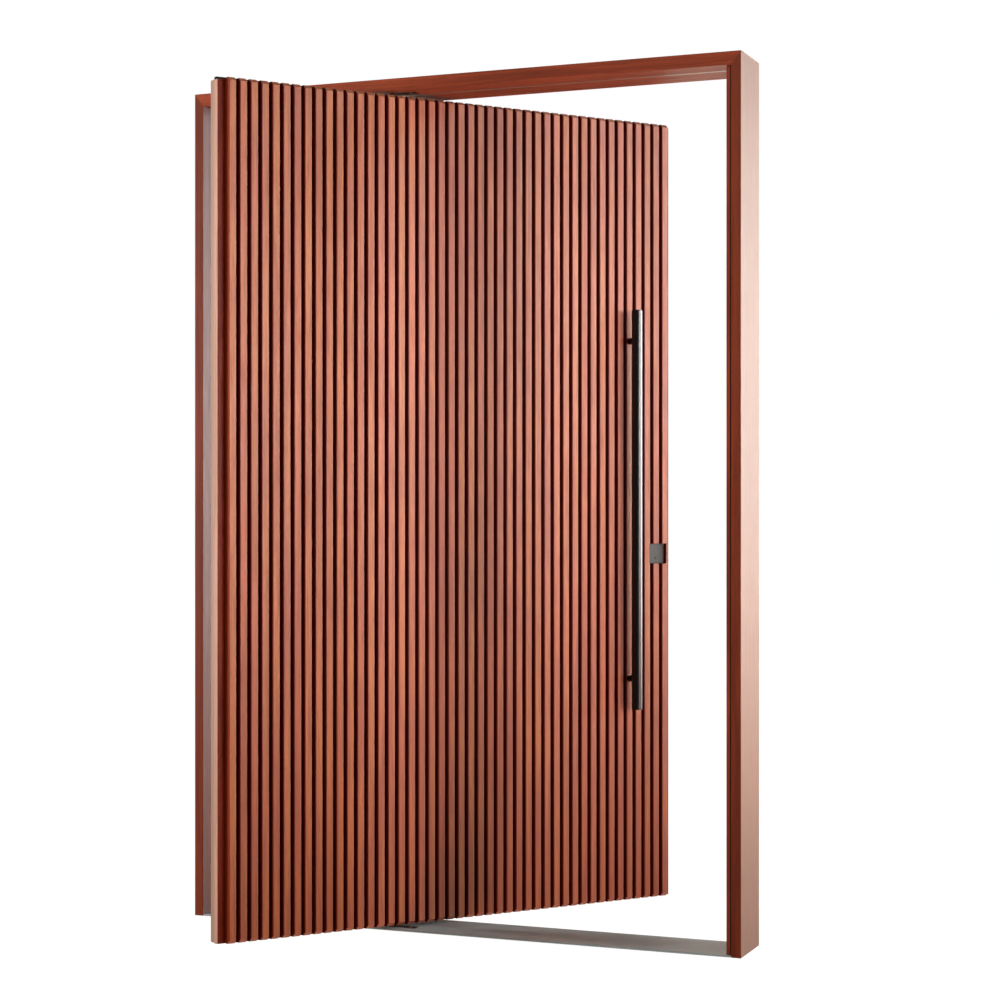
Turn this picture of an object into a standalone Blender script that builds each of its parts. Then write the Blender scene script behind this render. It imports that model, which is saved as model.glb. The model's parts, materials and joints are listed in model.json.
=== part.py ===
"""Pivot entry door: a slatted hardwood leaf that turns on a floor pivot and a head pivot,
in a mitred hardwood frame with a metal threshold.

Metres, +Z up. X runs along the frame towards the lock side, and -Y is the outside.
The origin is on the floor, at the middle of the frame's width, in the plane of the closed leaf.
"""
import math

import bmesh
import bpy
from mathutils import Matrix, Vector

# Fits and clearances
TOUCH = 0.0003             # gap left between pieces that touch
SIDE_GAP = 0.006           # leaf's edge to the jamb
HEAD_GAP = 0.008           # leaf's top to the head
BOTTOM_GAP = 0.007         # leaf's underside to the threshold
STOP_GAP = 0.005           # closed leaf to the seals on the stops
PIN_PLAY = 0.001           # pivot pin to its bore

# Leaf
LEAF_WIDTH = 1.562
LEAF_HEIGHT = 2.351
CORE_THICKNESS = 0.040
PIVOT_INSET = 0.575        # pivot axis from the leaf's pivot edge
OPEN_ANGLE = math.radians(55.0)
STILE_WIDTH = 0.090
RAIL_HEIGHT = 0.120
CORE_ARRIS = 0.001

# Slats
SLAT_COUNT = 45
SLATS_PER_BOARD = 9
SLAT_WIDTH = 0.022
SLAT_DEPTH = 0.021         # core face to slat front
SLAT_ARRIS = 0.001
SLAT_END_SLOPE = 0.009     # bevel across each slat's two ends
SLAT_RISE = 0.005          # slats' tops above the core and the boards' webs
PIVOT_MARGIN = 0.024       # bare core beside the first slat
LOCK_MARGIN = 0.020        # bare core beside the last slat
BOARD_WEB = 0.004          # the back of a board, which its slats stand on

# Seals
SEAL_WIDTH = 0.013
SEAL_END = 0.004           # seal's end to the leaf's edge and to the pivot shoe
TOP_SEAL_HEIGHT = 0.008
BOTTOM_SEAL_HEIGHT = 0.002
STOP_SEAL_THICKNESS = 0.003
STOP_SEAL_WIDTH = 0.011

# Frame
FRAME_DEPTH = 0.200
FRAME_FRONT = 0.050        # frame's outside face, ahead of the leaf's middle plane
JAMB_FACE = 0.027
HEAD_FACE = 0.036
FRAME_ARRIS = 0.001
STOP_PROUD = 0.016
STOP_SETBACK = 0.012       # lock stop's face, back from the frame's outside face
TRACK_WIDTH = 0.014
TRACK_HEIGHT = 0.006
TRACK_SETBACK = 0.079      # head track, back from the frame's outside face

# Threshold
SILL_HEIGHT = 0.005
SILL_EDGE = 0.002

# Pivots
PIN_RADIUS = 0.007
PIN_REACH = 0.018          # pin's length inside the leaf
BORE_SPARE = 0.005         # bore's length past the pin
PIVOT_PLATE_LENGTH = 0.150
PIVOT_PLATE_WIDTH = 0.034
HEAD_PLATE_HEIGHT = 0.008
SHOE_LENGTH = 0.160
SHOE_WIDTH = 0.030
SHOE_HEIGHT = 0.032

# Lock
LOCK_HEIGHT = 1.056        # middle of the lock above the floor
LOCK_POCKET_WIDTH = 0.0655
LOCK_POCKET_HEIGHT = 0.061
LOCK_POCKET_INSET = 0.0255 # pocket's side from the leaf's lock edge
LOCK_PLATE_PLAY = 0.0008
LOCK_RECESS = 0.010        # slat front to the plate's face
LOCK_PLATE_EDGE = 0.0008
KEYHOLE_RADIUS = 0.0035
KEYHOLE_DEPTH = 0.009
KEYHOLE_SIDE = 0.003       # towards the pivot from the plate's middle
KEYHOLE_DROP = 0.014       # below the plate's middle
LOCK_EDGE_LENGTH = 0.235   # of the faceplate and the strike
LOCK_EDGE_THICKNESS = 0.003
FACEPLATE_WIDTH = 0.024
STRIKE_WIDTH = 0.028
BOLT_WIDTH = 0.012
BOLT_HEIGHT = 0.040
BOLT_LENGTH = 0.020
BOLT_SINK = 0.0008         # bolt's end, back from the faceplate
BOLT_PITCH = 0.110
BOLT_PLAY = 0.0035         # bolt to its slot in the strike, each way
BOLT_THROW = 0.015         # depth of the pockets behind the strike

# Pull bars
PULL_LENGTH = 1.200
PULL_RADIUS = 0.016
PULL_HEIGHT = 1.189        # middle of the bar above the floor
PULL_SLAT = 41             # slat that the posts stand on, counted from the pivot edge
PULL_STANDOFF = 0.0355     # slat front to the bar's axis
PULL_EDGE = 0.0012
POST_RADIUS = 0.010
POST_INSET = 0.092         # post's axis from the bar's end

ROUND_SEGMENTS = 32
PIN_SEGMENTS = 24
SMOOTH_ANGLE = math.radians(40)

# Places that follow from the sizes
SLAT_FIELD = LEAF_WIDTH - PIVOT_MARGIN - LOCK_MARGIN
SLAT_PITCH = (SLAT_FIELD - SLAT_WIDTH) / (SLAT_COUNT - 1)
SLAT_SPACE = SLAT_PITCH - SLAT_WIDTH
LEAF_LEFT = -PIVOT_INSET
LEAF_RIGHT = LEAF_WIDTH - PIVOT_INSET
LEAF_BOTTOM = SILL_HEIGHT + BOTTOM_GAP
LEAF_TOP = LEAF_BOTTOM + LEAF_HEIGHT
CORE_TOP = LEAF_TOP - SLAT_RISE
CORE_FACE = CORE_THICKNESS / 2
SLAT_FRONT = CORE_FACE + SLAT_DEPTH
OPENING_HALF = LEAF_WIDTH / 2 + SIDE_GAP
FRAME_HALF = OPENING_HALF + JAMB_FACE
SOFFIT = LEAF_TOP + HEAD_GAP
FRAME_HEIGHT = SOFFIT + HEAD_FACE
FRAME_BACK = FRAME_DEPTH - FRAME_FRONT
PIVOT_X = PIVOT_INSET + SIDE_GAP - OPENING_HALF
SEAL_FACE = CORE_FACE + STOP_GAP
STOP_FACE = SEAL_FACE + STOP_SEAL_THICKNESS + TOUCH
STOP_DEPTH = FRAME_FRONT - STOP_SETBACK - STOP_FACE
POCKET_MIDDLE = LEAF_RIGHT - LOCK_POCKET_INSET - LOCK_POCKET_WIDTH / 2
BOLT_OFFSETS = (-BOLT_PITCH / 2, BOLT_PITCH / 2)

FRAME_BROWN = (0.155, 0.042, 0.018)
SLAT_BROWN = (0.42, 0.150, 0.075)
CORE_BROWN = (0.52, 0.235, 0.140)
STEEL = (0.36, 0.36, 0.35)
ALUMINIUM = (0.42, 0.42, 0.41)
BLACK = (0.008, 0.008, 0.009)
SEAL_BLACK = (0.012, 0.010, 0.010)


def clear_scene():
    """Remove every object, mesh and material that the file opened with."""
    for obj in list(bpy.data.objects):
        bpy.data.objects.remove(obj, do_unlink=True)
    for block in (bpy.data.meshes, bpy.data.materials, bpy.data.curves):
        for item in list(block):
            block.remove(item)


def make_material(name, colour, roughness, metallic):
    """One Principled material with a plain colour."""
    material = bpy.data.materials.new(name)
    material.use_nodes = True
    shader = material.node_tree.nodes["Principled BSDF"]
    shader.inputs["Base Color"].default_value = (*colour, 1.0)
    shader.inputs["Roughness"].default_value = roughness
    shader.inputs["Metallic"].default_value = metallic
    material.diffuse_color = (*colour, 1.0)
    return material


def finish_mesh(name, shape, collection, colour=STEEL, roughness=0.5, metallic=0.0, parent=None):
    """Turn a bmesh into an object with its own material, under the leaf's empty if one is given."""
    bmesh.ops.recalc_face_normals(shape, faces=shape.faces)
    mesh = bpy.data.meshes.new(name)
    shape.to_mesh(mesh)
    shape.free()
    mesh.materials.append(make_material(name, colour, roughness, metallic))
    obj = bpy.data.objects.new(name, mesh)
    obj.parent = parent
    collection.objects.link(obj)
    return obj


def box(name, x, y, z, collection, **look):
    """A cube stretched over three (start, end) spans, given in either order."""
    low = Vector((min(x), min(y), min(z)))
    high = Vector((max(x), max(y), max(z)))
    place = Matrix.Translation((low + high) / 2) @ Matrix.Diagonal((*(high - low), 1.0))
    shape = bmesh.new()
    bmesh.ops.create_cube(shape, size=1.0, matrix=place)
    return finish_mesh(name, shape, collection, **look)


def round_bar(name, start, end, radius, collection, segments=PIN_SEGMENTS, **look):
    """A capped cylinder from one point to another, smooth round its side."""
    start, end = Vector(start), Vector(end)
    axis = end - start
    turn = axis.to_track_quat("Z", "Y").to_matrix().to_4x4()
    place = Matrix.Translation((start + end) / 2) @ turn
    shape = bmesh.new()
    bmesh.ops.create_cone(shape, cap_ends=True, segments=segments, radius1=radius, radius2=radius,
                          depth=axis.length, matrix=place)
    obj = finish_mesh(name, shape, collection, **look)
    obj.data.shade_smooth()
    obj.data.set_sharp_from_angle(angle=SMOOTH_ANGLE)
    return obj


def prism(name, outline, start, end, turn, collection, **look):
    """A closed flat outline drawn out from start to end along its own Z, then turned into place."""
    shape = bmesh.new()
    face = shape.faces.new([shape.verts.new((u, v, start)) for u, v in outline])
    drawn = bmesh.ops.extrude_face_region(shape, geom=[face])["geom"]
    moved = [item for item in drawn if isinstance(item, bmesh.types.BMVert)]
    bmesh.ops.translate(shape, verts=moved, vec=(0.0, 0.0, end - start))
    bmesh.ops.transform(shape, matrix=turn, verts=shape.verts)
    return finish_mesh(name, shape, collection, **look)


# Turns for outlines drawn in a plan, in a front view and in a section across the leaf
PLAN = Matrix.Identity(4)
FRONT = Matrix.Rotation(math.radians(90), 4, "X")
SECTION = Matrix(((0, 0, 1, 0), (1, 0, 0, 0), (0, 1, 0, 0), (0, 0, 0, 1)))


def bevel(obj, width):
    """Take the arrises off an object's sharp edges."""
    modifier = obj.modifiers.new("arris", "BEVEL")
    modifier.width = width
    modifier.segments = 1
    modifier.limit_method = "ANGLE"
    modifier.angle_limit = SMOOTH_ANGLE


def combine(obj, other, operation):
    """Cut an object with another, or unite the two, and keep the other only as a guide."""
    other.hide_render = True
    other.display_type = "WIRE"
    modifier = obj.modifiers.new(operation.lower() + "_" + other.name, "BOOLEAN")
    modifier.operation = operation
    modifier.object = other


def about(middle, half):
    """The span that reaches equally far to both sides of a middle."""
    return (middle - half, middle + half)


def slat_left(index):
    """Left edge of a slat, counted from 0 at the pivot edge."""
    return LEAF_LEFT + PIVOT_MARGIN + index * SLAT_PITCH


def board_outline(first, side):
    """Comb outline of one board with its slats; side is -1 on the outside and 1 on the inside."""
    last = first + SLATS_PER_BOARD - 1
    base = side * (CORE_FACE + TOUCH)
    groove = side * (CORE_FACE + BOARD_WEB)
    front = side * SLAT_FRONT
    front_edge = side * (SLAT_FRONT - SLAT_ARRIS)
    joint = (SLAT_SPACE - TOUCH) / 2
    start = slat_left(first) - (joint if first > 0 else 0.0)
    end = slat_left(last) + SLAT_WIDTH + (joint if last < SLAT_COUNT - 1 else 0.0)
    points = [(start, base)]
    if start < slat_left(first):
        points.append((start, groove))
    for index in range(first, last + 1):
        left = slat_left(index)
        right = left + SLAT_WIDTH
        if left > start:
            points.append((left, groove))
        points += [(left, front_edge), (left + SLAT_ARRIS, front),
                   (right - SLAT_ARRIS, front), (right, front_edge)]
        if right < end:
            points.append((right, groove))
    if end > slat_left(last) + SLAT_WIDTH:
        points.append((end, groove))
    points.append((end, base))
    return points


def build_jambs_and_head(parts, cutters):
    """Two jambs and a head, sawn to mitres at the corners, with the head track let into the soffit."""
    wood = dict(collection=parts, colour=FRAME_BROWN, roughness=0.45)
    depth = (-FRAME_FRONT, FRAME_BACK)
    uncut = FRAME_HALF + JAMB_FACE
    head = box("frame_head", (-uncut, uncut), depth, (SOFFIT, FRAME_HEIGHT), **wood)
    bevel(head, FRAME_ARRIS)
    mitre_gap = TOUCH * math.hypot(JAMB_FACE, HEAD_FACE) / HEAD_FACE
    jambs = {}
    for name, way in (("pivot", -1), ("lock", 1)):
        jamb = box(name + "_jamb", (way * OPENING_HALF, way * FRAME_HALF), depth,
                   (0.0, FRAME_HEIGHT + HEAD_FACE), **wood)
        bevel(jamb, FRAME_ARRIS)
        # The saw's line runs two faces' widths past each end of the mitre
        inner, outer = OPENING_HALF - 2 * JAMB_FACE, FRAME_HALF + 2 * JAMB_FACE
        low, high = SOFFIT - 2 * HEAD_FACE, FRAME_HEIGHT + 2 * HEAD_FACE
        above = [(way * x, z) for x, z in ((inner, low), (outer, high), (inner, high))]
        below = [(way * (x - mitre_gap), z) for x, z in ((inner, low), (outer, high), (outer, low))]
        for piece, waste in ((jamb, above), (head, below)):
            saw = prism("%s_%s_saw" % (piece.name, name), waste, -FRAME_DEPTH, FRAME_DEPTH, FRONT, cutters)
            combine(piece, saw, "DIFFERENCE")
        jambs[name] = jamb

    track_front = TRACK_SETBACK - FRAME_FRONT
    reach = OPENING_HALF - TOUCH
    groove = box("track_groove", (-FRAME_HALF, FRAME_HALF),
                 (track_front - TOUCH, track_front + TRACK_WIDTH + TOUCH),
                 (SOFFIT - TRACK_HEIGHT, SOFFIT + TRACK_HEIGHT + TOUCH), cutters)
    combine(head, groove, "DIFFERENCE")
    box("head_track", (-reach, reach), (track_front, track_front + TRACK_WIDTH),
        (SOFFIT, SOFFIT + TRACK_HEIGHT), parts, colour=ALUMINIUM, roughness=0.35, metallic=1.0)
    return jambs["lock"], head


def build_stops(parts):
    """A stop in front of the leaf at the lock jamb and one behind it at the pivot jamb, with seals."""
    wood = dict(collection=parts, colour=FRAME_BROWN, roughness=0.45)
    rubber = dict(collection=parts, colour=SEAL_BLACK, roughness=0.9)
    height = (SILL_HEIGHT + TOUCH, SOFFIT - TOUCH)
    for name, way, face in (("lock", 1, -1), ("pivot", -1, 1)):
        span = (way * (OPENING_HALF - STOP_PROUD), way * (OPENING_HALF - TOUCH))
        depth = (face * STOP_FACE, face * (STOP_FACE + STOP_DEPTH))
        stop = box(name + "_stop", span, depth, height, **wood)
        bevel(stop, FRAME_ARRIS)
        box(name + "_stop_seal", about(sum(span) / 2, STOP_SEAL_WIDTH / 2),
            (face * SEAL_FACE, face * (SEAL_FACE + STOP_SEAL_THICKNESS)), height, **rubber)


def build_threshold(parts):
    """A metal plate between the jambs."""
    reach = OPENING_HALF - TOUCH
    sill = box("threshold", (-reach, reach), (-FRAME_FRONT, FRAME_BACK), (0.0, SILL_HEIGHT), parts,
               colour=ALUMINIUM, roughness=0.4, metallic=1.0)
    bevel(sill, SILL_EDGE)
    return sill


def build_fixed_pivots(parts, cutters, sill, head):
    """A plate with a pin let into the threshold, and another in the head."""
    steel = dict(collection=parts, colour=STEEL, roughness=0.35, metallic=1.0)
    half_x = PIVOT_PLATE_LENGTH / 2
    half_y = PIVOT_PLATE_WIDTH / 2
    sill_room = about(SILL_HEIGHT / 2, SILL_HEIGHT)
    plate_top = SOFFIT + HEAD_PLATE_HEIGHT
    head_room = (SOFFIT - HEAD_PLATE_HEIGHT, plate_top + TOUCH)
    plates = (("floor_pivot", sill, (0.0, SILL_HEIGHT), sill_room, LEAF_BOTTOM + PIN_REACH),
              ("head_pivot", head, (SOFFIT, plate_top), head_room, CORE_TOP - PIN_REACH))
    for name, host, plate_z, room_z, pin_end in plates:
        room = box(name + "_room", about(PIVOT_X, half_x + TOUCH), about(0.0, half_y + TOUCH),
                   room_z, cutters)
        combine(host, room, "DIFFERENCE")
        plate = box(name, about(PIVOT_X, half_x), about(0.0, half_y), plate_z, **steel)
        pin = round_bar(name + "_pin", (PIVOT_X, 0.0, sum(plate_z) / 2), (PIVOT_X, 0.0, pin_end),
                        PIN_RADIUS, cutters)
        combine(plate, pin, "UNION")


def build_strike(parts, cutters, lock_jamb):
    """Strike plate let into the lock jamb, with a slot and a pocket for each bolt."""
    outer = OPENING_HALF + LOCK_EDGE_THICKNESS
    half_y = STRIKE_WIDTH / 2
    half_z = LOCK_EDGE_LENGTH / 2
    room = box("strike_room", (OPENING_HALF - LOCK_EDGE_THICKNESS, outer + TOUCH),
               about(0.0, half_y + TOUCH), about(LOCK_HEIGHT, half_z + TOUCH), cutters)
    combine(lock_jamb, room, "DIFFERENCE")
    strike = box("strike_plate", (OPENING_HALF, outer), about(0.0, half_y), about(LOCK_HEIGHT, half_z),
                 parts, colour=STEEL, roughness=0.35, metallic=1.0)
    slot_y = BOLT_WIDTH / 2 + BOLT_PLAY
    slot_z = BOLT_HEIGHT / 2 + BOLT_PLAY
    for number, offset in enumerate(BOLT_OFFSETS):
        depth = (OPENING_HALF - LOCK_EDGE_THICKNESS, outer + BOLT_THROW)
        slot = box("bolt_pocket_%d" % (number + 1), depth, about(0.0, slot_y),
                   about(LOCK_HEIGHT + offset, slot_z), cutters)
        combine(strike, slot, "DIFFERENCE")
        combine(lock_jamb, slot, "DIFFERENCE")


def build_core(parts, cutters, hinge):
    """Stiles, rails and panel that the boards are fixed to, with the pivot shoes in the rails."""
    wood = dict(collection=parts, colour=CORE_BROWN, roughness=0.5, parent=hinge)
    thick = (-CORE_FACE, CORE_FACE)
    full = (LEAF_BOTTOM, CORE_TOP)
    left = LEAF_LEFT + STILE_WIDTH
    right = LEAF_RIGHT - STILE_WIDTH
    between = (left + TOUCH, right - TOUCH)
    low = LEAF_BOTTOM + RAIL_HEIGHT
    high = CORE_TOP - RAIL_HEIGHT
    pivot_stile = box("pivot_stile", (LEAF_LEFT, left), thick, full, **wood)
    lock_stile = box("lock_stile", (right, LEAF_RIGHT), thick, full, **wood)
    bottom_rail = box("bottom_rail", between, thick, (LEAF_BOTTOM, low), **wood)
    top_rail = box("top_rail", between, thick, (high, CORE_TOP), **wood)
    box("leaf_core", between, thick, (low + TOUCH, high - TOUCH), **wood)
    for piece in (pivot_stile, lock_stile):
        bevel(piece, CORE_ARRIS)
    build_shoe("bottom", bottom_rail, LEAF_BOTTOM, 1, parts, cutters, hinge)
    build_shoe("top", top_rail, CORE_TOP, -1, parts, cutters, hinge)
    return lock_stile


def build_shoe(name, rail, mouth, way, parts, cutters, hinge):
    """A steel block let into a rail, bored for its pivot pin; way points into the leaf."""
    half_x = SHOE_LENGTH / 2
    half_y = SHOE_WIDTH / 2
    inner = mouth + way * SHOE_HEIGHT
    beyond = mouth - way * SHOE_HEIGHT
    room = box(name + "_shoe_room", about(0.0, half_x + TOUCH), about(0.0, half_y + TOUCH),
               (beyond, inner + way * TOUCH), cutters, parent=hinge)
    combine(rail, room, "DIFFERENCE")
    shoe = box(name + "_pivot_shoe", about(0.0, half_x), about(0.0, half_y), (mouth, inner), parts,
               colour=STEEL, roughness=0.35, metallic=1.0, parent=hinge)
    bore_end = mouth + way * (PIN_REACH + BORE_SPARE)
    bore = round_bar(name + "_pin_bore", (0.0, 0.0, beyond), (0.0, 0.0, bore_end),
                     PIN_RADIUS + PIN_PLAY, cutters, parent=hinge)
    combine(shoe, bore, "DIFFERENCE")


def build_seals(parts, hinge):
    """Brush seals along the leaf's top and bottom, broken at the pivot shoes."""
    black = dict(collection=parts, colour=SEAL_BLACK, roughness=0.9, parent=hinge)
    thick = about(0.0, SEAL_WIDTH / 2)
    top = (CORE_TOP + TOUCH, CORE_TOP + TOP_SEAL_HEIGHT)
    bottom = (LEAF_BOTTOM - BOTTOM_SEAL_HEIGHT, LEAF_BOTTOM - TOUCH)
    shoe_end = SHOE_LENGTH / 2 + SEAL_END
    spans = (("pivot", (LEAF_LEFT + SEAL_END, -shoe_end)), ("lock", (shoe_end, LEAF_RIGHT - SEAL_END)))
    for side, span in spans:
        box("top_seal_" + side, span, thick, top, **black)
        box("bottom_seal_" + side, span, thick, bottom, **black)


def build_boards(parts, cutters, hinge):
    """The slatted boards on both faces, their slats standing above the webs, with sloped ends."""
    pocket_x = about(POCKET_MIDDLE, LOCK_POCKET_WIDTH / 2)
    pocket_z = about(LOCK_HEIGHT, LOCK_POCKET_HEIGHT / 2)
    for side, label in ((-1, "outside"), (1, "inside")):
        foot = side * (SLAT_FRONT - SLAT_END_SLOPE)
        beyond = side * (SLAT_FRONT + SLAT_END_SLOPE)
        ends = []
        for name, tip, way in (("top", LEAF_TOP, 1), ("bottom", LEAF_BOTTOM, -1)):
            past = tip + way * SLAT_END_SLOPE
            wedge = [(foot, tip), (foot, past), (beyond, past), (beyond, tip - 2 * way * SLAT_END_SLOPE)]
            ends.append(prism("%s_%s_slope" % (label, name), wedge, LEAF_LEFT, LEAF_RIGHT, SECTION,
                              cutters, parent=hinge))
        web_y = (0.0, side * (CORE_FACE + BOARD_WEB + TOUCH))
        ends.append(box(label + "_web_top", (LEAF_LEFT, LEAF_RIGHT), web_y,
                        (CORE_TOP, LEAF_TOP + SLAT_END_SLOPE), cutters, parent=hinge))
        pocket_y = about(side * SLAT_FRONT, 2 * SLAT_DEPTH)
        pocket = box(label + "_lock_pocket", pocket_x, pocket_y, pocket_z, cutters, parent=hinge)
        for first in range(0, SLAT_COUNT, SLATS_PER_BOARD):
            name = "%s_board_%d" % (label, first // SLATS_PER_BOARD + 1)
            board = prism(name, board_outline(first, side), LEAF_BOTTOM, LEAF_TOP, PLAN, parts,
                          colour=SLAT_BROWN, parent=hinge)
            for end in ends:
                combine(board, end, "DIFFERENCE")
            if slat_left(first + SLATS_PER_BOARD) > pocket_x[0]:
                combine(board, pocket, "DIFFERENCE")


def build_lock(parts, cutters, hinge, lock_stile):
    """A thick plate with a keyhole in each pocket, and a faceplate with two bolts in the lock edge."""
    steel = dict(collection=parts, colour=STEEL, roughness=0.4, metallic=1.0, parent=hinge)
    half_x = LOCK_POCKET_WIDTH / 2 - LOCK_PLATE_PLAY
    half_z = LOCK_POCKET_HEIGHT / 2 - LOCK_PLATE_PLAY
    key_x = POCKET_MIDDLE - KEYHOLE_SIDE
    key_z = LOCK_HEIGHT - KEYHOLE_DROP
    for side, label in ((-1, "outside"), (1, "inside")):
        front = SLAT_FRONT - LOCK_RECESS
        plate = box(label + "_lock_plate", about(POCKET_MIDDLE, half_x),
                    (side * (CORE_FACE + TOUCH), side * front), about(LOCK_HEIGHT, half_z), **steel)
        key_start, key_end = about(side * front, KEYHOLE_DEPTH)
        keyhole = round_bar(label + "_keyhole", (key_x, key_start, key_z), (key_x, key_end, key_z),
                            KEYHOLE_RADIUS, cutters, parent=hinge)
        bevel(plate, LOCK_PLATE_EDGE)
        combine(plate, keyhole, "DIFFERENCE")

    inner = LEAF_RIGHT - LOCK_EDGE_THICKNESS
    past = LEAF_RIGHT + LOCK_EDGE_THICKNESS
    half_y = FACEPLATE_WIDTH / 2
    half_z = LOCK_EDGE_LENGTH / 2
    room = box("faceplate_room", (inner - TOUCH, past), about(0.0, half_y + TOUCH),
               about(LOCK_HEIGHT, half_z + TOUCH), cutters, parent=hinge)
    combine(lock_stile, room, "DIFFERENCE")
    faceplate = box("lock_faceplate", (inner, LEAF_RIGHT), about(0.0, half_y),
                    about(LOCK_HEIGHT, half_z), **steel)
    bolt_end = LEAF_RIGHT - BOLT_SINK
    bolt_start = bolt_end - BOLT_LENGTH
    for name, offset in zip(("dead_bolt", "latch_bolt"), BOLT_OFFSETS):
        room = box(name + "_room", (bolt_start - TOUCH, past), about(0.0, BOLT_WIDTH / 2 + TOUCH),
                   about(LOCK_HEIGHT + offset, BOLT_HEIGHT / 2 + TOUCH), cutters, parent=hinge)
        combine(lock_stile, room, "DIFFERENCE")
        combine(faceplate, room, "DIFFERENCE")
        box(name, (bolt_start, bolt_end), about(0.0, BOLT_WIDTH / 2),
            about(LOCK_HEIGHT + offset, BOLT_HEIGHT / 2), **steel)


def build_pulls(parts, hinge):
    """A long round bar on two posts, on each face."""
    black = dict(collection=parts, colour=BLACK, roughness=0.35, metallic=0.6, parent=hinge)
    x = slat_left(PULL_SLAT - 1) + SLAT_WIDTH / 2
    low = PULL_HEIGHT - PULL_LENGTH / 2
    high = PULL_HEIGHT + PULL_LENGTH / 2
    for side, label in ((-1, "outside"), (1, "inside")):
        axis_y = side * (SLAT_FRONT + PULL_STANDOFF)
        bar = round_bar(label + "_pull_bar", (x, axis_y, low), (x, axis_y, high), PULL_RADIUS,
                        segments=ROUND_SEGMENTS, **black)
        bevel(bar, PULL_EDGE)
        base = side * (SLAT_FRONT + TOUCH)
        tip = side * (SLAT_FRONT + PULL_STANDOFF - PULL_RADIUS - TOUCH)
        for level, z in (("lower", low + POST_INSET), ("upper", high - POST_INSET)):
            round_bar("%s_pull_%s_post" % (label, level), (x, base, z), (x, tip, z), POST_RADIUS, **black)


def main():
    clear_scene()
    scene = bpy.context.scene
    parts = bpy.data.collections.new("pivot_entry_door")
    cutters = bpy.data.collections.new("cutters")
    scene.collection.children.link(parts)
    scene.collection.children.link(cutters)

    # The leaf is modelled closed, with the pivot axis at X = 0, and this empty opens it
    hinge = bpy.data.objects.new("leaf_hinge", None)
    hinge.location = (PIVOT_X, 0.0, 0.0)
    hinge.rotation_euler = (0.0, 0.0, OPEN_ANGLE)
    parts.objects.link(hinge)

    lock_jamb, head = build_jambs_and_head(parts, cutters)
    build_stops(parts)
    sill = build_threshold(parts)
    build_fixed_pivots(parts, cutters, sill, head)
    build_strike(parts, cutters, lock_jamb)
    lock_stile = build_core(parts, cutters, hinge)
    build_seals(parts, hinge)
    build_boards(parts, cutters, hinge)
    build_lock(parts, cutters, hinge, lock_stile)
    build_pulls(parts, hinge)


main()
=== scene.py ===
"""Looks of the pivot entry door: woods, metals and rubber on the built pieces, the screws and key plugs
that are too small to build as solids, and the studio that it is seen in.

Metres, +Z up, in the door's own frame: +X to the lock jamb, -Y outside.
"""
import json
import math

import bmesh
import bpy
from mathutils import Matrix, Vector


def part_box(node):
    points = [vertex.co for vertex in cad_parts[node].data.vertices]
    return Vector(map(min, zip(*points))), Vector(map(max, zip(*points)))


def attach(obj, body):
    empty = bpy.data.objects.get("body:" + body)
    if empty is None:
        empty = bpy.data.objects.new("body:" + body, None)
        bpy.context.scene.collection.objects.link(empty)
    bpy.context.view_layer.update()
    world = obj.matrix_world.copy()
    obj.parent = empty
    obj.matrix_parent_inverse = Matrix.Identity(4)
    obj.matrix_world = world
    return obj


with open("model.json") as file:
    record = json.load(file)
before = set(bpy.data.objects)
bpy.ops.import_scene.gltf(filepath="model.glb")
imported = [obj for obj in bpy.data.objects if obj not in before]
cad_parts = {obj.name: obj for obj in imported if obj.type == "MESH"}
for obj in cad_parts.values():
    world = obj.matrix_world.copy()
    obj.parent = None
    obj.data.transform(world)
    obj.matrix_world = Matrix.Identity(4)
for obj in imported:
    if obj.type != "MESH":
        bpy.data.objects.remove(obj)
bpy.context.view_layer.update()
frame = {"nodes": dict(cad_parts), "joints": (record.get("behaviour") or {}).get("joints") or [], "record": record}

# The door's joint, the leaf's turn from closed, and the frame's outer faces
PIVOT = Vector(frame["joints"][0]["pos_m"])
OPEN_ANGLE = -math.radians(frame["joints"][0]["range_deg"][0])
MOUNTS = {mount["name"]: mount["pos_m"] for mount in frame["record"]["mounts"]}
FRAME_HALF = MOUNTS["lock_jamb_side"][0]
FRAME_TOP = MOUNTS["head_top"][2]
OPENING_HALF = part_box("threshold")[1][0]

# The camera, as the photograph's lines give it
IMAGE_WIDTH = 1000
FOCAL_PIXELS = 2300.8
PRINCIPAL_X = 350.0
PRINCIPAL_Y = 509.9
CAMERA_PLACE = (2.312, -6.048, 1.1887)
CAMERA_TURN = math.radians(23.67)
SENSOR_WIDTH = 36.0

# Floor's side and the surroundings' radius
FLOOR_SIZE = 60.0
BACKDROP_RADIUS = 40.0

# Tints of the light
WHITE = (1.0, 1.0, 1.0)
WARM = (1.0, 0.84, 0.74)
GLOW = (1.0, 0.78, 0.64)

# Light from the surroundings: its strength all round, and the rise towards the back and the floor,
# each from where to where it goes and from what strength to what
SKY_BASE = 0.075
SKY_BEHIND = (0.5, 0.85, 0.0, 0.95)
SKY_BELOW = (-0.35, -0.70, 0.0, 0.70)

# Key light: three soft boxes in an arc, by direction in degrees from +X and by power
KEYS = (("right_panel", -6.0, 8.1), ("front_right_panel", -18.0, 7.4), ("side_panel", 12.0, 3.9))
KEY_TARGET = (0.0, 0.22, 1.68)
KEY_DISTANCE = 11.8
KEY_HEIGHT = 2.0
KEY_SIZE = (2.0, 0.9)
KEY_SPREAD = 19.5

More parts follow.
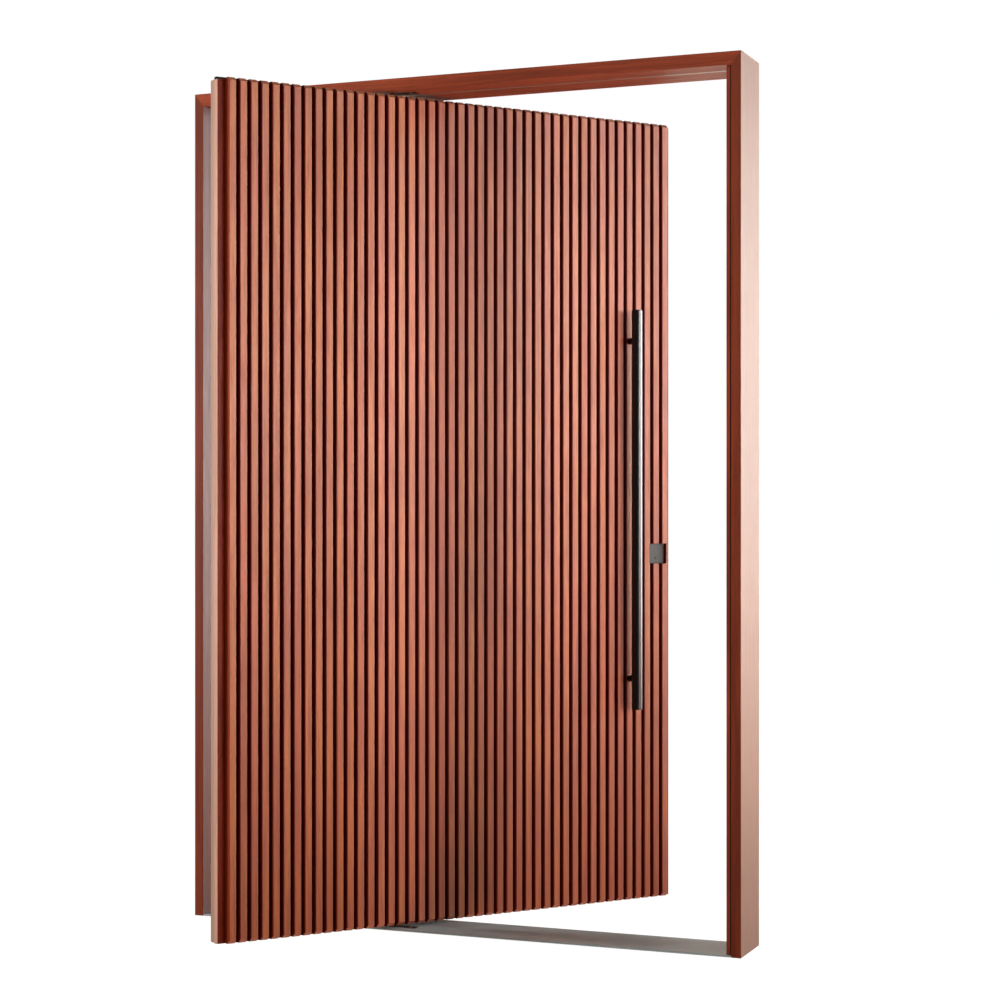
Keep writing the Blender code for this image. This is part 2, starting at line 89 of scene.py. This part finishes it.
# The other soft boxes: name, place, target, width and height, power, spread in degrees, and tint
PANELS = (
    ("left_panel", (-4.2, -1.9, 1.8), (-0.6, -0.4, 1.4), (1.6, 2.0), 47.0, 100.0, WHITE),
    ("front_panel", (-0.5, -3.6, 4.6), (0.1, 0.0, 1.3), (4.0, 1.5), 18.5, 150.0, WARM),
    ("back_right_panel", (5.5, 5.35, 1.9), (0.0, 0.0, 1.3), (4.0, 2.8), 350.0, 120.0, WHITE),
    ("high_side_panel", (11.5, 2.7, 4.5), KEY_TARGET, KEY_SIZE, 60.0, 60.0, WHITE),
    ("low_back_panel", (6.7, 10.2, 0.4), (0.8, 0.05, 0.35), (1.6, 0.6), 1.2, 13.0, (1.0, 0.47, 0.28)),
    ("middle_panel", (9.58, -6.6, 1.5), (-0.091, 0.164, 1.3), (0.2, 2.0), 0.55, 6.0, WHITE),
    ("low_right_panel", (11.7, -1.4, 0.6), (0.0, 0.22, 0.35), (2.0, 0.8), 2.7, 16.5, (1.0, 0.48, 0.32)),
)

# Soft boxes that only show as gleams on glossy faces
GLEAMS = ("back_right_panel", "high_side_panel")

# Depth within which a face is taken for the one that it lies on
EDGE = 0.0005

# Frame woods: name, the axes that run across, out of and along the board, and how light its colour is made: darker
# on the jambs as painted shade, lighter on the head and the stops as painted light
FRAME_WOODS = (("upright", "XYZ", 0.76), ("level", "ZYX", 1.24), ("stop", "XYZ", 1.5))
FRAME_STAINS = ((0.36, 0.058, 0.020), (0.47, 0.089, 0.032))
FRAME_BARE = (0.300, 0.184, 0.139)
FRAME_FIGURE = (0.15, 0.022, 0.007)
BARE_FIGURE = (0.35, 0.19, 0.13)

# Painted shade on each stop's front, in the corner beside its jamb: its place in from the opening's edge, and its
# colour
STOP_SHADE_LINE = 0.0062
CORNER_SHADE_BROWN = (0.03, 0.002, 0.001)

# Slats, in the leaf's own plane, from its pivot axis
SLAT_COUNT = 45
SLAT_WIDTH = 0.022
SLAT_PITCH = 0.034
SLAT_FRONT = 0.041
FIRST_SLAT = -0.551
LAST_SLAT = FIRST_SLAT + (SLAT_COUNT - 1) * SLAT_PITCH

# Edges of a slat's front: the left one, darkened by painted shade, the right one, lightened by a painted
# highlight, and the depths behind them at which the sides' colour starts
LEFT_ARRIS = 0.0025
RIGHT_ARRIS = 0.0018
SIDE_COLOUR_STARTS = (0.0005, 0.0011)

# Depth from a slat's front at which the painted shade on its side is darkest
GROOVE_DEPTH = 0.014

# Slats' colours: by tone, the painted highlight on the right edge, in the grain, on the outer sides, the painted
# shade in the grooves from their mouth to their floor, and on the end grain and its streaks
SLAT_TONES = (
    (0.10, (0.53, 0.126, 0.060)),
    (0.32, (0.58, 0.146, 0.050)),
    (0.50, (0.62, 0.194, 0.052)),
    (0.68, (0.59, 0.150, 0.066)),
    (0.90, (0.66, 0.212, 0.064)),
)
SLAT_ARRIS_HIGHLIGHT = (0.85, 0.36, 0.20)
SLAT_FIGURE = (0.34, 0.085, 0.045)
SLAT_OUTER = (0.36, 0.047, 0.008)
SLAT_GROOVE_SHADES = ((0.240, 0.022, 0.004), (0.120, 0.002, 0.001))
SLAT_ENDS = ((0.50, 0.17, 0.09), (0.34, 0.10, 0.045))

# Core: half its thickness, the depth from which it is stained, and its colours from outside to inside
CORE_FACE = 0.020
CORE_STAINED = 0.0192
CORE_TONES = ((0.0, (0.86, 0.53, 0.40)), (0.35, (0.73, 0.44, 0.34)), (1.0, (0.42, 0.29, 0.225)))
CORE_STAIN = (0.26, 0.026, 0.005)
CORE_FIGURE = (0.48, 0.27, 0.19)
STAIN_FIGURE = (0.09, 0.007, 0.001)

# Screw heads: rings of radius and height from the back to the face, and the cross cut into the face
SCREW_RINGS = ((0.0042, -0.0003), (0.0042, 0.0001), (0.0039, 0.0004), (0.0031, 0.0007))
CROSS_REACH = 0.0022
CROSS_HALF = 0.00055
CROSS_DEPTH = 0.0005

# Turn of the first screw's cross, and from each screw's to the next one's
CROSS_TURN = 0.4
CROSS_STEP = 1.1

# Places of the screws, from the middle of the strike and from the pivot, and the faceplate's face
LOCK_SCREWS = (-0.101, 0.0, 0.101)
PIVOT_SCREWS = (-0.055, 0.055)
FACEPLATE_FACE = 0.987

# Plug of the key cylinder, with its slot, in the keyhole of each lock plate
KEYHOLE_PLACE = 0.9258
KEYHOLE_HEIGHT = 1.042
PLUG_RINGS = ((0.0031, 0.0268), (0.0031, 0.0299), (0.0029, 0.0301))
SLOT_HALF = (0.0004, 0.0020)
SLOT_DEPTH = 0.002

# Sides of a turned form, and the angle from which its edges stay sharp
TURNED_SIDES = 24
SHARP_ANGLE = math.radians(35.0)


class Nodes:
    """A node tree, with short calls to add nodes and feed their inputs."""

    def __init__(self, tree):
        self.tree = tree

    def feed(self, socket, value):
        """Give an input a constant or a link."""
        if isinstance(value, bpy.types.NodeSocket):
            self.tree.links.new(value, socket)
        else:
            socket.default_value = value

    def add(self, kind, feeds=(), **settings):
        """Add a node, with its settings, and with its inputs fed by name or number."""
        node = self.tree.nodes.new(kind)
        for key, value in settings.items():
            setattr(node, key, value)
        for socket, value in dict(feeds).items():
            self.feed(node.inputs[socket], value)
        return node

    def maths(self, operation, *values):
        return self.add("ShaderNodeMath", enumerate(values), operation=operation).outputs[0]

    def vector(self, operation, *values):
        return self.add("ShaderNodeVectorMath", enumerate(values), operation=operation).outputs[0]

    def combine(self, x, y, z):
        return self.add("ShaderNodeCombineXYZ", enumerate((x, y, z))).outputs[0]

    def stretched(self, across, out, along, share):
        """Three places as one, with the last cut to a share, so that a pattern runs on along it."""
        return self.combine(across, out, self.maths("MULTIPLY", along, share))

    def mix(self, factor, a, b):
        """Colour from a to b."""
        return self.add("ShaderNodeMix", {0: factor, 6: a, 7: b}, data_type="RGBA").outputs[2]

    def spread(self, value, low, high, start=0.0, end=1.0, smooth=True):
        """Map low..high to start..end, held at both ends."""
        kind = "SMOOTHSTEP" if smooth else "LINEAR"
        feeds = {0: value, 1: low, 2: high, 3: start, 4: end}
        return self.add("ShaderNodeMapRange", feeds, interpolation_type=kind).outputs[0]

    def ramp(self, value, stops):
        """Colour ramp through (place, colour) stops."""
        node = self.add("ShaderNodeValToRGB", {0: value})
        points = node.color_ramp.elements
        while len(points) < len(stops):
            points.new(1.0)
        for point, (place, colour) in zip(points, stops):
            point.position = place
            point.color = tint(colour)
        return node.outputs[0]

    def noise(self, vector, scale, detail=3.0, roughness=0.5, distortion=0.0):
        feeds = {"Vector": vector, "Scale": scale, "Detail": detail, "Roughness": roughness,
                 "Distortion": distortion}
        return self.add("ShaderNodeTexNoise", feeds).outputs["Fac"]

    def random(self, vector):
        """One random number for each whole-number place."""
        return self.add("ShaderNodeTexWhiteNoise", {"Vector": vector}).outputs["Value"]


class Shader(Nodes):
    """A material and its surface. Values in the call go to the surface's sockets."""

    def __init__(self, name, **values):
        self.material = bpy.data.materials.new(name)
        self.material.use_nodes = True
        super().__init__(self.material.node_tree)
        self.surface = self.tree.nodes["Principled BSDF"]
        for key, value in values.items():
            self.set(key.replace("_", " ").title().replace("Ior", "IOR"), value)

    def set(self, socket, value):
        """Give one of the surface's sockets a constant or a link."""
        self.feed(self.surface.inputs[socket], value)

    def bump(self, height, strength, distance):
        feeds = {"Height": height, "Strength": strength, "Distance": distance}
        self.set("Normal", self.add("ShaderNodeBump", feeds).outputs[0])

    def normal_up(self):
        """How far a face looks up, from -1 to 1."""
        normal = self.add("ShaderNodeNewGeometry").outputs["True Normal"]
        return self.add("ShaderNodeSeparateXYZ", {0: normal}).outputs["Z"]

    def position(self):
        """Place in the door's frame."""
        return self.add("ShaderNodeTexCoord").outputs["Object"]

    def place(self):
        """X, Y and Z in the door's frame."""
        return self.add("ShaderNodeSeparateXYZ", {0: self.position()}).outputs

    def leaf_place(self):
        """Place along the leaf from its pivot axis, out from its middle plane, and up."""
        centred = self.vector("SUBTRACT", self.position(), PIVOT)
        turned = self.add("ShaderNodeVectorRotate", {"Vector": centred, "Angle": -OPEN_ANGLE},
                          rotation_type="Z_AXIS").outputs[0]
        return self.add("ShaderNodeSeparateXYZ", {0: turned}).outputs


def tint(colour, light=1.0):
    """A colour, made lighter or darker, with the alpha that a socket takes."""
    return (*[part * light for part in colour], 1)


def dress(name, material):
    """Give a CAD node a material."""
    for slot in frame["nodes"][name].material_slots:
        slot.material = material


def grain(shader, across, out, along, seed=0.0):
    """Streaks, growth rings and pores of a board, each from 0 to 1, from its three places."""
    shift = shader.combine(seed, seed, seed)
    shifted = shader.vector("ADD", shader.stretched(across, out, along, 0.045), shift)
    wander = shader.maths("MULTIPLY", shader.noise(shifted, 9.0, 2.0), 0.03)
    bent = shader.vector("ADD", shifted, shader.combine(wander, 0.0, 0.0))
    streaks = shader.noise(bent, 210.0, 5.0, 0.62)
    rings = shader.noise(bent, 55.0, 2.0, 0.5, 0.6)
    fine = shader.vector("ADD", shader.stretched(across, out, along, 0.022), shift)
    pores = shader.noise(fine, 900.0, 2.0, 0.6)
    return streaks, rings, shader.spread(pores, 0.60, 0.70)


def finish_wood(shader, colour, streaks, rings, pores, dark, roughness):
    """Put the grain over a board's own colour, set its gloss and relief, and return the colour."""
    figure = shader.mix(shader.spread(rings, 0.35, 0.68, 0.0, 0.55), colour, dark)
    figure = shader.mix(shader.spread(streaks, 0.48, 0.75, 0.0, 0.60), figure, dark)
    figure = shader.mix(shader.maths("MULTIPLY", pores, 0.55), figure, dark)
    shader.set("Base Color", figure)
    shader.set("Roughness", shader.spread(streaks, 0.3, 0.7, roughness - 0.06, roughness + 0.08))
    relief = shader.maths("SUBTRACT", shader.maths("MULTIPLY", streaks, 0.5), pores)
    shader.bump(relief, 0.25, 0.0003)
    return figure


def frame_wood():
    """Dark lacquered hardwood of the jambs, the head and the stops, bare where the wall hides it, its colour
    painted darker on the jambs as painted shade and lighter on the head and the stops as painted light, with a
    painted shade line on each stop's front beside its jamb.
    """
    made = {}
    for name, lie, light in FRAME_WOODS:
        shader = Shader("frame_wood_" + name)
        place = shader.place()
        across, out, along = (place[letter] for letter in lie)
        streaks, rings, pores = grain(shader, across, out, along)
        broad = shader.noise(shader.stretched(across, out, along, 0.2), 6.0)
        width = shader.maths("ABSOLUTE", place["X"])
        bare = shader.maths("MAXIMUM", shader.maths("GREATER_THAN", width, FRAME_HALF - EDGE),
                            shader.maths("GREATER_THAN", place["Z"], FRAME_TOP - EDGE))
        # Each piece's colour made darker on the jambs as painted shade and lighter on the head and the stops as
        # painted light
        stain_and_painted_shading = shader.mix(broad, *[tint(colour, light) for colour in FRAME_STAINS])
        colour = shader.mix(bare, stain_and_painted_shading, tint(FRAME_BARE))
        if name == "stop":
            # Painted shade: a dark line on the stop's front where its jamb shades the corner
            joint = OPENING_HALF - STOP_SHADE_LINE
            corner_shade = shader.spread(width, joint - EDGE, joint + EDGE)
            colour = shader.mix(corner_shade, colour, tint(CORNER_SHADE_BROWN))
        dark = shader.mix(bare, tint(FRAME_FIGURE), tint(BARE_FIGURE))
        gloss = shader.maths("SUBTRACT", 0.45, shader.maths("MULTIPLY", bare, 0.30))
        shader.set("Specular IOR Level", gloss)
        finish_wood(shader, colour, streaks, rings, pores, dark, 0.42)
        made[name] = shader.material
    return made


def slat_wood():
    """Oiled slats, each of its own tone, with painted shade in the grooves between them and on one arris of each,
    and a painted highlight on the other arris.
    """
    shader = Shader("slat_wood", specular_ior_level=0.28)
    u, v, z = shader.leaf_place()

    # The slat's number and side of the leaf, and the place across its pitch, from 0 to 1
    gap = (SLAT_PITCH - SLAT_WIDTH) / 2
    pitches = shader.maths("DIVIDE", shader.maths("SUBTRACT", u, FIRST_SLAT - gap), SLAT_PITCH)
    number = shader.maths("FLOOR", pitches)
    side = shader.maths("GREATER_THAN", v, 0.0)
    across = shader.maths("FRACT", pitches)
    # Masks of each slat's left arris, which gets painted shade, and of its right arris, which gets a painted
    # highlight
    shaded_arris = shader.maths("LESS_THAN", across, (gap + LEFT_ARRIS) / SLAT_PITCH)
    lit_arris = shader.maths("GREATER_THAN", across, (gap + SLAT_WIDTH - RIGHT_ARRIS) / SLAT_PITCH)

    # Its own tone, which drifts along it
    seed = shader.random(shader.combine(number, side, 0.0))
    own = shader.random(shader.combine(number, side, 3.0))
    cloud = shader.combine(shader.maths("MULTIPLY", seed, 90.0), shader.maths("MULTIPLY", u, 25.0),
                           shader.maths("MULTIPLY", z, 1.6))
    drift = shader.spread(shader.noise(cloud, 1.0, 2.0), 0.3, 0.7, 0.12, 0.38)
    tone = shader.maths("ADD", shader.maths("MULTIPLY", own, 0.54), drift)
    colour = shader.ramp(tone, SLAT_TONES)
    # Painted highlight on each slat's right arris
    colour = shader.mix(shader.maths("MULTIPLY", lit_arris, 0.6), colour, tint(SLAT_ARRIS_HIGHLIGHT))
    streaks, rings, pores = grain(shader, u, v, z, shader.maths("MULTIPLY", seed, 13.0))
    front = finish_wood(shader, colour, streaks, rings, pores, tint(SLAT_FIGURE), 0.45)

    # Sides: their own colour on the outer sides at the leaf's edges, painted shade inside the grooves that darkens
    # with depth, and painted shade on each left arris
    depth = shader.maths("ABSOLUTE", v)
    inside = shader.maths("MULTIPLY", shader.maths("GREATER_THAN", u, FIRST_SLAT + EDGE),
                          shader.maths("LESS_THAN", u, LAST_SLAT + SLAT_WIDTH - EDGE))
    flank = shader.spread(depth, *[SLAT_FRONT - start for start in SIDE_COLOUR_STARTS])
    flank = shader.maths("MAXIMUM", shaded_arris, flank)
    stain_and_painted_shading = shader.mix(shader.spread(depth, SLAT_FRONT, SLAT_FRONT - GROOVE_DEPTH),
                       *[tint(colour) for colour in SLAT_GROOVE_SHADES])
    faced = shader.mix(flank, front, shader.mix(inside, tint(SLAT_OUTER), stain_and_painted_shading))

    # End grain on the bevelled ends
    end = shader.spread(shader.maths("ABSOLUTE", shader.normal_up()), 0.2, 0.4)
    slope = shader.maths("GREATER_THAN", depth, CORE_FACE)
    end_grain = shader.mix(streaks, *[tint(colour) for colour in SLAT_ENDS])
    shader.set("Base Color", shader.mix(shader.maths("MULTIPLY", end, slope), faced, end_grain))
    return shader.material


def core_wood():
    """The leaf's core: bare pale edges, and dark stained faces beside the slats."""
    shader = Shader("core_wood", specular_ior_level=0.15)
    u, v, z = shader.leaf_place()
    streaks, rings, pores = grain(shader, u, v, z)
    face = shader.maths("GREATER_THAN", shader.maths("ABSOLUTE", v), CORE_STAINED)
    bare = shader.ramp(shader.spread(v, -CORE_FACE, CORE_FACE, smooth=False), CORE_TONES)
    colour = shader.mix(face, bare, tint(CORE_STAIN))
    dark = shader.mix(face, tint(CORE_FIGURE), tint(STAIN_FIGURE))
    finish_wood(shader, colour, streaks, rings, pores, dark, 0.5)
    return shader.material


def metal(name, colour, roughness, lie="XYZ", shine=1.0):
    """Brushed metal, its lines along the last letter of lie."""
    shader = Shader(name, metallic=shine, anisotropic=0.4)
    place = shader.place()
    across, out, along = (place[letter] for letter in lie)
    lines = shader.noise(shader.stretched(across, out, along, 0.02), 2500.0, 3.0)
    blotches = shader.noise(shader.combine(across, out, along), 14.0, 4.0)
    shader.set("Base Color", shader.mix(blotches, tint(colour, 0.8), tint(colour, 1.15)))
    shader.set("Roughness", shader.spread(lines, 0.3, 0.7, roughness - 0.05, roughness + 0.10))
    shader.bump(lines, 0.1, 0.0001)
    return shader.material


def black_paint():
    """Satin black powder coat."""
    shader = Shader("black_satin", specular_ior_level=0.48)
    peel = shader.noise(shader.position(), 900.0, 2.0)
    shader.set("Base Color", shader.mix(peel, (0.002, 0.002, 0.0025, 1), (0.005, 0.005, 0.006, 1)))
    shader.set("Roughness", shader.spread(peel, 0.3, 0.7, 0.28, 0.34))
    shader.bump(peel, 0.04, 0.0001)
    return shader.material


def rubber():
    """Matt black rubber and brush pile."""
    shader = Shader("black_rubber")
    speckle = shader.noise(shader.position(), 1200.0, 2.0)
    shader.set("Base Color", shader.mix(speckle, (0.008, 0.007, 0.007, 1), (0.022, 0.019, 0.018, 1)))
    shader.set("Roughness", shader.spread(speckle, 0.3, 0.7, 0.75, 0.95))
    shader.bump(speckle, 0.3, 0.0003)
    return shader.material


def dress_nodes():
    """Put a material on every CAD node, and return the steel."""
    woods = frame_wood()
    core = core_wood()
    slats = slat_wood()
    black = black_paint()
    soft = rubber()
    steel = metal("satin_steel", (0.42, 0.41, 0.40), 0.38)
    looks = {"frame_head": woods["level"],
             "head_track": metal("track_aluminium", (0.52, 0.50, 0.47), 0.35, "ZYX"),
             "threshold": metal("threshold_aluminium", (0.52, 0.70, 0.76), 0.50, "ZYX", 0.2),
             "inside_lock_plate": metal("plate_zinc", (0.049, 0.048, 0.046), 0.60, "XYZ", 0.2),
             "head_pivot": metal("pivot_steel", (0.075, 0.036, 0.026), 0.50),
             "leaf_core": core}
    looks["outside_lock_plate"] = looks["inside_lock_plate"]
    looks["floor_pivot"] = looks["head_pivot"]
    kinds = (("seal", soft), ("board", slats), ("pull", black), ("jamb", woods["upright"]),
             ("stop", woods["stop"]), ("rail", core), ("stile", core), ("", steel))
    for name in frame["nodes"]:
        kind = next(material for word, material in kinds if word in name)
        dress(name, looks.get(name, kind))
    return steel


def skin(mesh, low, high):
    """Join two loops of as many points by a band of four-sided faces."""
    for i, corner in enumerate(low):
        mesh.faces.new((low[i - 1], corner, high[i], high[i - 1]))


def turned_form(mesh, lie, rings, outline, depth):
    """Add a closed turned form, from its back to its face, with a recess of that outline in its face."""
    turns = [2 * math.pi * i / TURNED_SIDES for i in range(TURNED_SIDES)]
    loops = [[mesh.verts.new(lie @ Vector((radius * math.cos(turn), radius * math.sin(turn), height)))
              for turn in turns] for radius, height in rings]
    top = rings[-1][1]
    floor, lip = [[mesh.verts.new(lie @ Vector((x, y, height))) for x, y in outline]
                  for height in (top - depth, top)]
    for low, high in zip(loops, loops[1:]):
        skin(mesh, low, high)
    skin(mesh, floor, lip)
    rims = [mesh.edges.get((loop[i - 1], loop[i]))
            for loop in (loops[-1], lip) for i in range(len(loop))]
    bmesh.ops.triangle_fill(mesh, use_beauty=True, edges=rims)
    ends = [mesh.faces.new(loops[0]), mesh.faces.new(floor)]
    bmesh.ops.triangulate(mesh, faces=ends)


def add_piece(name, mesh, body, material):
    """Make the built faces a piece that rides on a body."""
    bmesh.ops.recalc_face_normals(mesh, faces=mesh.faces)
    for face in mesh.faces:
        face.smooth = True
    for edge in mesh.edges:
        edge.smooth = edge.calc_face_angle(0.0) < SHARP_ANGLE
    data = bpy.data.meshes.new(name)
    mesh.to_mesh(data)
    mesh.free()
    data.materials.append(material)
    piece = bpy.data.objects.new(name, data)
    bpy.context.scene.collection.objects.link(piece)
    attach(piece, body)


def on_leaf(u, v, z):
    """Place in the door's frame of a place on the leaf."""
    return PIVOT + Matrix.Rotation(OPEN_ANGLE, 3, "Z") @ Vector((u, v, z))


def facing(place, way, turn=0.0):
    """Lie of a form that stands at a place and faces a way, turned about its own axis."""
    aim = Vector(way).to_track_quat("Z", "Y").to_matrix().to_4x4()
    return Matrix.Translation(place) @ aim @ Matrix.Rotation(turn, 4, "Z")


def screws(name, body, places, way, steel):
    """Cross-head screws in a plate, at their places, facing one way."""
    arm = ((CROSS_REACH, -CROSS_HALF), (CROSS_REACH, CROSS_HALF), (CROSS_HALF, CROSS_HALF))
    quarters = ((1, 0), (0, 1), (-1, 0), (0, -1))
    cross = [(x * c - y * s, x * s + y * c) for c, s in quarters for x, y in arm]
    mesh = bmesh.new()
    for i, place in enumerate(places):
        lie = facing(place, way, CROSS_TURN + CROSS_STEP * i)
        turned_form(mesh, lie, SCREW_RINGS, cross, CROSS_DEPTH)
    add_piece(name, mesh, body, steel)


def fittings(steel):
    """Screws in the lock's and the pivots' plates, and a key plug in each lock plate."""
    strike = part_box("strike_plate")
    middle = (strike[0][2] + strike[1][2]) / 2
    centre = on_leaf(0.0, 0.0, 0.0)
    places = [(strike[0][0], 0.0, middle + way) for way in LOCK_SCREWS]
    screws("strike_plate_screws", "frame", places, (-1, 0, 0), steel)
    places = [on_leaf(FACEPLATE_FACE, 0.0, middle + way) for way in LOCK_SCREWS]
    screws("lock_faceplate_screws", "leaf", places, on_leaf(1.0, 0.0, 0.0) - centre, steel)
    for name, height, up in (("floor_pivot_screws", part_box("threshold")[1][2], 1),
                             ("head_pivot_screws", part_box("frame_head")[0][2], -1)):
        places = [(PIVOT.x + way, 0.0, height) for way in PIVOT_SCREWS]
        screws(name, "frame", places, (0, 0, up), steel)

    dark = metal("plug_steel", (0.03, 0.03, 0.03), 0.5, "XYZ", 0.3)
    x, y = SLOT_HALF
    slot = ((x, -y), (x, y), (-x, y), (-x, -y))
    for name, side in (("outside_key_plug", -1), ("inside_key_plug", 1)):
        lie = facing(on_leaf(KEYHOLE_PLACE, 0.0, KEYHOLE_HEIGHT), on_leaf(0.0, side, 0.0) - centre)
        mesh = bmesh.new()
        turned_form(mesh, lie, PLUG_RINGS, slot, SLOT_DEPTH)
        add_piece(name, mesh, "leaf", dark)


def panel(name, place, target, size, power, spread, colour):
    """A soft box, which the camera doesn't see, and which only gleams if it is one of the gleams."""
    data = bpy.data.lights.new(name, "AREA")
    data.shape = "RECTANGLE"
    data.size, data.size_y = size
    data.energy = power
    data.color = colour
    data.spread = math.radians(spread)
    light = bpy.data.objects.new(name, data)
    light.location = place
    light.rotation_euler = (Vector(target) - Vector(place)).to_track_quat("-Z", "Y").to_euler()
    light.visible_camera = False
    light.visible_diffuse = name not in GLEAMS
    bpy.context.scene.collection.objects.link(light)


def backdrop(name, obj):
    """A white surface that only the camera sees, so that the panels alone light the door."""
    obj.name = name
    shader = Shader(name, roughness=0.9)
    shader.set("Base Color", (0.02, 0.02, 0.02, 1))
    shader.set("Emission Color", (1, 1, 1, 1))
    shader.set("Emission Strength", 1.0)
    obj.data.materials.append(shader.material)
    obj.visible_diffuse = False
    obj.visible_glossy = False
    obj.visible_shadow = False


def studio():
    """White floor and surroundings, the key's soft boxes, and the fills and gleams round the door."""
    world = bpy.data.worlds.new("studio")
    world.use_nodes = True
    sky = Nodes(world.node_tree)
    look = sky.add("ShaderNodeTexCoord").outputs["Generated"]
    look = sky.add("ShaderNodeSeparateXYZ", {0: look}).outputs
    rise = sky.maths("MAXIMUM", sky.spread(look["Y"], *SKY_BEHIND), sky.spread(look["Z"], *SKY_BELOW))
    background = world.node_tree.nodes["Background"].inputs
    sky.feed(background["Strength"], sky.maths("ADD", rise, SKY_BASE))
    sky.feed(background["Color"], tint(GLOW))
    bpy.context.scene.world = world
    bpy.context.scene.view_settings.view_transform = "Standard"

    bpy.ops.mesh.primitive_plane_add(size=FLOOR_SIZE)
    backdrop("floor", bpy.context.object)
    bpy.ops.mesh.primitive_uv_sphere_add(segments=48, ring_count=24, radius=BACKDROP_RADIUS)
    backdrop("backdrop", bpy.context.object)

    x, y = KEY_TARGET[:2]
    for name, way, power in KEYS:
        turn = math.radians(way)
        place = (x + KEY_DISTANCE * math.cos(turn), y + KEY_DISTANCE * math.sin(turn), KEY_HEIGHT)
        panel(name, place, KEY_TARGET, KEY_SIZE, power, KEY_SPREAD, WHITE)
    for values in PANELS:
        panel(*values)


def camera():
    """The photograph's view."""
    data = bpy.data.cameras.new("camera")
    data.sensor_width = SENSOR_WIDTH
    data.lens = FOCAL_PIXELS / IMAGE_WIDTH * SENSOR_WIDTH
    data.shift_x = 0.5 - PRINCIPAL_X / IMAGE_WIDTH
    data.shift_y = PRINCIPAL_Y / IMAGE_WIDTH - 0.5
    view = bpy.data.objects.new("camera", data)
    view.location = CAMERA_PLACE
    view.rotation_euler = (math.radians(90.0), 0.0, CAMERA_TURN)
    bpy.context.scene.collection.objects.link(view)
    bpy.context.scene.camera = view


fittings(dress_nodes())
studio()
camera()
